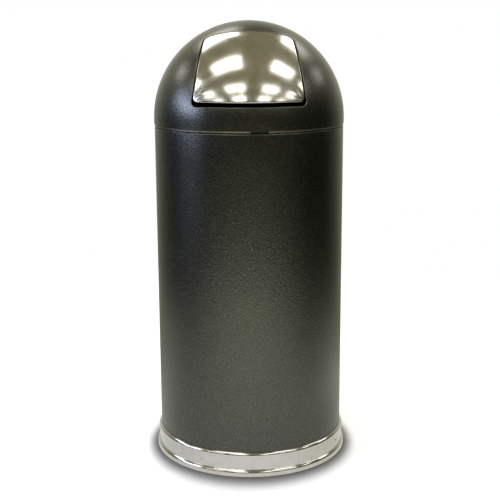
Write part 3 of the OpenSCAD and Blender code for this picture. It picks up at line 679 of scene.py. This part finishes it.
def makeDome():
    d = domeSize
    inside, eased = d["radius"] - d["sheet"], d["lipRound"]
    rows = []
    # lip: from its inner foot up the wall of the opening and over onto the ball
    lipFoot = d["radius"] - d["lip"]
    for inset, down in ((-1.0, 0.0), (-0.75, 0.0), (-0.25, 0.0), (0.0, -0.25)):
        rows.append([openingPoint(u, v, sqrt(lipFoot ** 2 - u * u - v * v) - down)
                     for u, v in openingOutline(inset, inset, inset)])
    for k in range(9):
        a = radians(90 * k / 8)
        inset = -eased * (1 - cos(a))
        down = facing * eased * (1 - sin(a))
        rows.append([onBall(u, v, d["radius"]) - down
                     for u, v in openingOutline(inset, inset, inset)])
    start = openingOutline(-eased, -eased, -eased)
    steps = 64
    rows += [domeRow(start, d["radius"], i / steps) for i in range(1, steps + 1)]
    equator = rows[-1]

    def skirtRow(radius, z):
        return [Vector((p.x, p.y, 0)).normalized() * radius + Vector((0, 0, z)) for p in equator]

    skirt = d["centre"] - d["edge"]
    rows += [skirtRow(d["radius"], d["centre"] - skirt * i / 4) for i in (1, 2, 3)]
    rows += [skirtRow(d["radius"], d["edge"] + 0.3), skirtRow(d["radius"] - 0.3, d["edge"]),
             skirtRow(inside + 0.3, d["edge"]), skirtRow(inside, d["edge"] + 0.3)]
    start = openingOutline(-1.0, -1.0, -1.0)
    rows += [domeRow(start, inside, 1 - i / 32) for i in range(33)]
    finishPiece(skinned(rows, wrap=True), "domeShell", "dome", domePaint,
                ("dome_shell",))
    print("dome made")


# the dome's painted highlight lines: along the edge of its skirt, and round its lip
domePaint = hammertonePowderCoat("hammertoneDomeCoat", (694.0, 695.6), lipped=True)
makeDome()

locatingSize = {"sheet": 0.8, "bead": (191.35, 692.107), "beadRound": 3.0, "band": 193.75,
                "bandTop": 705.107, "spigot": 191.45, "spigotTop": 688.5, "spigotEnd": 675.3,
                "gapMiddle": 6.0, "gapWide": 10.0, "strap": (190.6, 679.3, 699.1),
                "strapLap": 3.0}


def makeLocatingRing():
    g = locatingSize
    path = [(g["band"], g["bandTop"]), (g["band"], domeSize["edge"] + 1.6)]
    path += arc(g["bead"], g["beadRound"], 60, -84, 20)
    path += [(g["spigot"], g["spigotTop"]), (g["spigot"], g["spigotEnd"] + 3),
             (g["spigot"] - 1.2, g["spigotEnd"])]
    start = g["gapMiddle"] + g["gapWide"] / 2 - 90
    bm = turned(sheetSection(path, g["sheet"]), 300, start, 360 - g["gapWide"])
    # the strap welded behind the ring's two ends
    out, low, high = g["strap"]
    path = [(out, high), (out, (low + high) / 2), (out, low)]
    wide = g["gapWide"] + 2 * g["strapLap"]
    strap = turned(sheetSection(path, g["sheet"]), 16, g["gapMiddle"] - wide / 2 - 90, wide)
    mesh = bpy.data.meshes.new("strap")
    strap.to_mesh(mesh)
    strap.free()
    bm.from_mesh(mesh)
    bpy.data.meshes.remove(mesh)
    finishPiece(bm, "locatingRing", "dome", ringPaint, ("locating_ring",))


makeLocatingRing()

weldSize = {"count": 16, "first": 11.5, "height": 701.0, "across": 1.9, "stands": 0.35}


def makeWelds():
    # marks of the spot welds that hold the locating ring inside the skirt
    w = weldSize
    bm = bmesh.new()
    shape = Matrix.Diagonal((w["across"], w["stands"], w["across"], 1))
    for i in range(w["count"]):
        azimuth = w["first"] + 360 / w["count"] * i
        place = Matrix.Translation(atAzimuth(azimuth, domeSize["radius"] - 0.05, w["height"]))
        turn = Matrix.Rotation(radians(azimuth), 4, "Z")
        bmesh.ops.create_uvsphere(bm, u_segments=14, v_segments=8, radius=1,
                                  matrix=place @ turn @ shape)
    finishPiece(bm, "skirtWelds", "dome", domePaint)


makeWelds()

# hinge and closing springs

for side in ("left", "right"):
    title = side.title()
    dressed("hinge_bracket_" + side, "hingeBracket" + title, "dome", zincPlated, 0.25)
    dressed("door_arm_" + side, "doorArm" + title, "door", zincPlated, 0.25)
    dressed("hinge_bush_" + side, "hingeBush" + title, "door", nylon, 0.15)
    dressed("stop_tab_" + side, "stopTab" + title, "door", zincPlated, 0.2)
    dressed("stop_bumper_" + side, "stopBumper" + title, "door", rubber, 0.5)
dressed("hinge_rod", "hingeRod", "dome", groundSteel, 0.4)
dressed("rod_caps", "rodCaps", "dome", zincPlated, 0.15)

springSize = {
    "hingeAngle": 69.9975, "hingeRadius": 180.0, "coil": 3.55, "pitch": 1.9, "turns": 6,
    "outer": 38.0, "wire": 0.7, "gap": 0.3, "doorInside": 194.15, "doorLeg": -46.0,
    "domeLeg": 26.0,
}


def makeSprings():
    s = springSize
    lean = radians(s["hingeAngle"])
    back = Vector((0, sin(lean), cos(lean)))
    out = Vector((0, -cos(lean), sin(lean)))

    def hingePoint(x, y, z):
        return domeCentre + Vector((x, 0, 0)) + back * y + out * z

    def legEnd(inside, leg):
        # where a leg ends, its wire just off the sheet that it presses on
        reach = inside - s["gap"] - s["wire"]
        return Vector((leg, sqrt(reach ** 2 - s["outer"] ** 2 - leg ** 2) - s["hingeRadius"]))

    door = legEnd(s["doorInside"], s["doorLeg"])
    dome = legEnd(domeSize["radius"] - domeSize["sheet"], s["domeLeg"])
    first = atan2(door.y, door.x) + acos(s["coil"] / door.length)
    last = atan2(dome.y, dome.x) + 2 * pi - acos(s["coil"] / dome.length)
    sweep = (last - first) % (2 * pi) + 2 * pi * (s["turns"] - 1)
    count = int(sweep / (2 * pi) * 20)

    def coil(i):
        a = first + sweep * i / count
        return Vector((s["outer"] - s["pitch"] * sweep / (2 * pi) * i / count,
                       s["coil"] * cos(a), s["hingeRadius"] + s["coil"] * sin(a)))

    path = [coil(i) for i in range(count + 1)]
    legA = [Vector((s["outer"], door.x, s["hingeRadius"] + door.y)).lerp(path[0], i / 6)
            for i in range(6)]
    legB = [path[-1].lerp(Vector((path[-1].x, dome.x, s["hingeRadius"] + dome.y)), i / 5)
            for i in range(1, 6)]
    path = legA + path + legB
    for side, sign in (("Left", -1), ("Right", 1)):
        points = [hingePoint(sign * p.x, p.y, p.z) for p in path]
        radii = [s["wire"]] * len(points)
        piece = finishPiece(skinned(tubeRows(points, radii, 8)), "closingSpring" + side, None,
                            springWire, ("closing_spring_" + side.lower(),))
        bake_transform(piece)
    print("springs made")


makeSprings()

# door: polished sheet on the dome's own ball, its edge turned in

doorSize = {"radius": 194.95, "sheet": 0.8, "flange": 5.0, "edgeRound": 1.6,
            "topGap": 1.2, "sideGap": 2.7, "bottomGap": 8.0,
            "crease": 0.32, "creaseReach": 30.0, "creaseStart": 2.0, "creaseSpread": 0.3,
            "creaseWide": 3.0}


def makeDoor():
    d = doorSize
    gaps = (d["topGap"], d["sideGap"], d["bottomGap"])

    def outline(extra):
        return openingOutline(*(g + extra for g in gaps))

    rim, eased = outline(d["edgeRound"]), d["edgeRound"]
    # in each lower corner the turned edge gathers the sheet into two creases that run apart
    corner = Vector(rim[outlineSteps["bow"] + outlineSteps["bottomRound"] // 2])
    inward = -corner.normalized()

    def face(u, v):
        reach = Vector((abs(u), v)) - corner
        along, across = reach.dot(inward), abs(reach.x * inward.y - reach.y * inward.x)
        fade = max(0.0, 1 - reach.length / d["creaseReach"])
        off = (across - d["creaseStart"] - along * d["creaseSpread"]) / d["creaseWide"]
        return d["radius"] - d["crease"] * fade * exp(-off * off)

    rows = [[openingPoint(0, 0, d["radius"])] * len(outline(0))]
    for part in [0.03, 0.07] + [0.12 + 0.88 * i / 120 for i in range(121)]:
        rows.append([onBall(u * part, v * part, face(u * part, v * part)) for u, v in rim])
    for k in range(1, 7):
        a = radians(15 * k)
        down = facing * eased * (1 - cos(a))
        rows.append([onBall(u, v, face(u, v)) - down for u, v in outline(eased * (1 - sin(a)))])
    foot = d["radius"] - d["flange"]
    for inset, radius in ((0.0, foot + 0.2), (0.2, foot), (0.6, foot), (0.8, foot + 0.2)):
        rows.append([onBall(u, v, radius) for u, v in outline(inset)])
    inside = d["radius"] - d["sheet"]
    rows.append([onBall(u, v, inside - 0.9) for u, v in outline(0.8)])
    rows.append([onBall(u, v, inside - 0.25) for u, v in outline(1.1)])
    inner = outline(1.8)
    for part in [1 - 0.9 * i / 24 for i in range(25)] + [0.05]:
        rows.append([onBall(u * part, v * part, min(inside, face(u * part, v * part) - d["sheet"]))
                     for u, v in inner])
    rows.append([openingPoint(0, 0, inside)] * len(inner))
    finishPiece(skinned(rows), "doorPanel", "door", doorSteel, ("door_panel",))
    print("door made")


makeDoor()

# the wire inside the liner's rim keeps its CAD shape
rimWire = nodes["liner_rim_wire"].data
rimWire.materials.clear()
rimWire.materials.append(galvanised)


# floor, lights and camera

# painted shadow on the floor round the base, metres from its foot, and its tones from there outwards
floorShade = {
    "from": 0.203, "wide": (0.028, 0.078),
    "tones": [(0.0, 0.07), (0.2, 0.19), (0.33, 0.31), (0.47, 0.48), (0.6, 0.65), (0.75, 0.82),
              (0.88, 0.92), (1.0, 1.0)],
}

# How the metal sees the floor: stops by distance from the middle, for each side. These tones and
# those of roomSeen stand for light that the photograph only shows in reflection. They were fitted
# to how bright its reflections are, by least squares over test renders, and smoothed.
floorSeen = {
    "reach": (0.2, 1.7), "bright": 1.9,
    "front": [(0.0, "#b7b4b3"), (0.1, "#c0c1c2"), (0.267, "#d1d3cb"), (0.533, "#dcded1"),
              (1.0, "#fffef0")],
    "right": [(0.0, "#a9a99f"), (0.1, "#a4a59c"), (0.267, "#c0c1b7"), (0.533, "#8a8c7c"),
              (1.0, "#000000")],
    "left": [(0.0, "#abacab"), (0.1, "#a9aaa6"), (0.267, "#abaca7"), (0.533, "#999a92"),
             (1.0, "#000000")],
    "behind": [(0.0, "#807e66"), (0.1, "#726f4a"), (0.267, "#4b4700"), (0.533, "#68663c"),
               (1.0, "#9a998f")],
}


def makeFloor():
    bm = bmesh.new()
    bmesh.ops.create_circle(bm, cap_ends=True, segments=96, radius=1.7)
    mesh = bpy.data.meshes.new("paleFloor")
    bm.to_mesh(mesh)
    bm.free()
    # pale paint, fully lit as a backdrop is, with a painted shadow round the foot of the base
    material, tree, shader, place = startMaterial("paleFloorPaint", {"Roughness": 0.6})
    cloud = addNode(tree, "ShaderNodeTexNoise", {"Vector": place}, {"Scale": 1.5, "Detail": 2.0})
    white = ramp(tree, cloud.outputs["Fac"], [(0.3, "#f6f6f6"), (0.7, "#fafafa")])
    # the painted shadow of the base falls off over "wide", the first at the sides, the second front
    # and back
    reach = addNode(tree, "ShaderNodeVectorMath", {0: place}, operation="LENGTH").outputs["Value"]
    ahead = addNode(tree, "ShaderNodeSeparateXYZ", {"Vector": place}).outputs["Y"]
    lean = addNode(tree, "ShaderNodeMath", {0: ahead, 1: reach}, operation="DIVIDE").outputs[0]
    lean = addNode(tree, "ShaderNodeMath", {0: lean, 1: lean}, operation="MULTIPLY").outputs[0]
    wide = addNode(tree, "ShaderNodeMapRange", {"Value": lean},
                   {"To Min": floorShade["wide"][0], "To Max": floorShade["wide"][1]})
    away = addNode(tree, "ShaderNodeMath", {0: reach}, {1: floorShade["from"]},
                   operation="SUBTRACT").outputs[0]
    away = addNode(tree, "ShaderNodeMath", {0: away, 1: wide.outputs["Result"]},
                   operation="DIVIDE").outputs[0]
    shade = ramp(tree, away, floorShade["tones"])
    tone = addNode(tree, "ShaderNodeMix", {"A": white, "B": shade}, {"Factor": 1.0},
                   data_type="RGBA", blend_type="MULTIPLY")
    for socket in ("Base Color", "Emission Color"):
        tree.links.new(tone.outputs["Result"], shader.inputs[socket])
    ray = addNode(tree, "ShaderNodeLightPath").outputs
    glow = addNode(tree, "ShaderNodeMapRange", {"Value": ray["Is Camera Ray"]},
                   {"To Min": 0.0, "To Max": 0.5})
    tree.links.new(glow.outputs["Result"], shader.inputs["Emission Strength"])
    level = addNode(tree, "ShaderNodeMapRange", {"Value": reach},
                    {"From Min": floorSeen["reach"][0], "From Max": floorSeen["reach"][1]})
    sides = {side: floorSeen[side] for side in ("front", "behind", "left", "right")}
    seen = addNode(tree, "ShaderNodeEmission",
                   {"Color": around(tree, place, level.outputs["Result"], sides)},
                   {"Strength": floorSeen["bright"]})
    mix = addNode(tree, "ShaderNodeMixShader", {0: ray["Is Glossy Ray"], 1: shader.outputs[0],
                                                2: seen.outputs[0]})
    tree.links.new(mix.outputs[0], tree.nodes["Material Output"].inputs["Surface"])
    mesh.materials.append(material)
    floor = bpy.data.objects.new("paleFloor", mesh)
    scene.collection.objects.link(floor)


makeFloor()

# ceiling panels in columns and rows, each from and to in metres
ceiling = {
    "height": 2.6, "colour": "#fffefa", "bright": 4.2,
    "columns": [(-3.7, -2.5), (-1.42, -0.24), (0.86, 1.95), (2.85, 4.0)],
    "rows": [(0.8, 1.9), (-1.03, -0.42), (-2.8, -2.1), (-4.6, -3.55)],
}
# cool daylight from the left: two panes of a window, and the paler wall under it
daylight = {
    "nearPane": {"place": (-3.4, -1.05, 1.4), "wide": 1.6, "high": 0.65, "bright": 10.8},
    "farPane": {"place": (-3.4, 0.1, 1.65), "wide": 0.75, "high": 0.75, "bright": 7.0},
    "wallUnder": {"place": (-3.4, -1.1, 0.45), "wide": 1.7, "high": 1.0, "bright": 0.35},
}
daylightColour = "#cad7ff"


def addPanel(name, place, turn, wide, high, colour, bright):
    light = bpy.data.lights.new(name, "AREA")
    light.shape = "RECTANGLE"
    light.size, light.size_y = wide, high
    light.color = toLinear(colour)[:3]
    light.energy = bright * pi * wide * high      # watts for that radiance
    lamp = bpy.data.objects.new(name, light)
    lamp.location = place
    lamp.rotation_euler = turn
    scene.collection.objects.link(lamp)


for x0, x1 in ceiling["columns"]:
    for y0, y1 in ceiling["rows"]:
        addPanel("ceilingPanel", ((x0 + x1) / 2, (y0 + y1) / 2, ceiling["height"]), (0, 0, 0),
                 x1 - x0, y1 - y0, ceiling["colour"], ceiling["bright"])
for name, panel in daylight.items():
    addPanel(name, panel["place"], (0, -pi / 2, 0), panel["high"], panel["wide"],
             daylightColour, panel["bright"])


# the room round the object: stops from low down to overhead, for each side, fitted like floorSeen
roomSeen = {
    "rise": (-0.35, 0.8), "bright": 1.1, "ambient": 0.07,
    "front": [(0.0, "#929280"), (0.2, "#67684f"), (0.391, "#14120c"), (0.609, "#6a6855"),
              (1.0, "#857f63")],
    "right": [(0.0, "#0a0a07"), (0.2, "#0a0a07"), (0.391, "#0a0a07"), (0.609, "#55523f"),
              (1.0, "#8a856b")],
    "left": [(0.0, "#494e5b"), (0.2, "#0a0a19"), (0.391, "#14162c"), (0.609, "#6e6b59"),
             (1.0, "#8a856b")],
    "behind": [(0.0, "#858b68"), (0.2, "#bdc0a3"), (0.391, "#fbfbe7"), (0.609, "#e3e0c8"),
               (1.0, "#868068")],
}


def makeWorld():
    # the camera sees a white backdrop, the metal sees the room, and the ambient light is neutral
    r = roomSeen
    world = bpy.data.worlds.new("studio")
    world.use_nodes = True
    scene.world = world
    tree = world.node_tree
    tree.nodes.clear()
    way = addNode(tree, "ShaderNodeTexCoord").outputs["Generated"]
    rise = addNode(tree, "ShaderNodeSeparateXYZ", {"Vector": way}).outputs["Z"]
    level = addNode(tree, "ShaderNodeMapRange", {"Value": rise},
                    {"From Min": r["rise"][0], "From Max": r["rise"][1]})
    sides = {side: r[side] for side in ("front", "behind", "left", "right")}
    room = addNode(tree, "ShaderNodeBackground",
                   {"Color": around(tree, way, level.outputs["Result"], sides)},
                   {"Strength": r["bright"]})
    ambient = addNode(tree, "ShaderNodeBackground",
                      values={"Color": (1, 1, 1, 1), "Strength": r["ambient"]})
    backdrop = addNode(tree, "ShaderNodeBackground", values={"Color": (1, 1, 1, 1), "Strength": 1.0})
    ray = addNode(tree, "ShaderNodeLightPath").outputs
    soft = addNode(tree, "ShaderNodeMixShader", {0: ray["Is Diffuse Ray"], 1: room.outputs[0],
                                                 2: ambient.outputs[0]})
    mix = addNode(tree, "ShaderNodeMixShader", {0: ray["Is Camera Ray"], 1: soft.outputs[0],
                                                2: backdrop.outputs[0]})
    addNode(tree, "ShaderNodeOutputWorld", {"Surface": mix.outputs[0]})


makeWorld()

view = {"place": (0.0007, -2.08753, 0.87931), "down": 12.273, "roll": -0.3106, "lens": 72.36}


def makeCamera():
    data = bpy.data.cameras.new("camera")
    data.lens, data.sensor_width, data.sensor_fit = view["lens"], 36.0, "HORIZONTAL"
    data.clip_start, data.clip_end = 0.05, 50
    down, roll = radians(view["down"]), radians(view["roll"])
    ahead = Vector((0, cos(down), -sin(down)))
    right, up = Vector((1, 0, 0)), Vector((0, sin(down), cos(down)))
    turnedRight = right * cos(roll) + up * sin(roll)
    turnedUp = up * cos(roll) - right * sin(roll)
    turn = Matrix((turnedRight, turnedUp, -ahead)).transposed().to_4x4()
    camera = bpy.data.objects.new("camera", data)
    camera.matrix_world = Matrix.Translation(view["place"]) @ turn
    scene.collection.objects.link(camera)
    scene.camera = camera


makeCamera()
scene.view_settings.view_transform = "Standard"
print("stage set")
